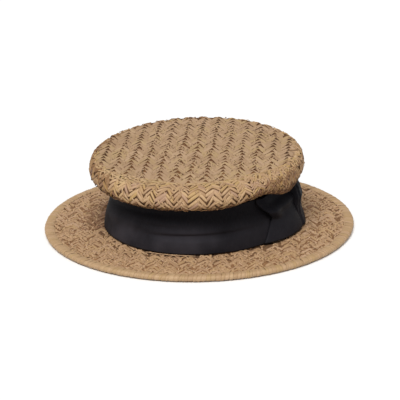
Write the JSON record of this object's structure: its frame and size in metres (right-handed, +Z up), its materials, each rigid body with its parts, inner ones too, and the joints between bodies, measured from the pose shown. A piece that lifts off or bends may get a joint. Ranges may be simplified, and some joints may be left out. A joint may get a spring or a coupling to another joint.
{
  "type": "straw boater hat",
  "caption": "Woven straw boater with a flat overhanging crown, a wrapped brim edge, a wide black ribbon and a flat side bow.",
  "frame": {"origin": "on the ground under the middle of the brim, with the hat resting on its rim", "axes": "+Z up, -Y towards the front of the hat, +X towards the wearer's left, where the bow is"},
  "size_m": [0.3074, 0.3264, 0.0812],
  "materials": {
    "woven_straw": "coarse herringbone straw, dry and matt",
    "plaited_straw": "zigzag plaited straw, slightly golden",
    "border_straw": "straw wrapped tightly round the rim",
    "black_ribbon": "soft black silk with a dull sheen"
  },
  "bodies": {
    "root": {"brim": "woven_straw", "brim_edge": "border_straw", "crown_wall": "plaited_straw", "crown_side": "plaited_straw", "crown_tip": "woven_straw", "hat_ribbon": "black_ribbon", "bow_tail_front": "black_ribbon", "bow_tail_back": "black_ribbon", "bow_knot": "black_ribbon"}
  },
  "joints": []
}
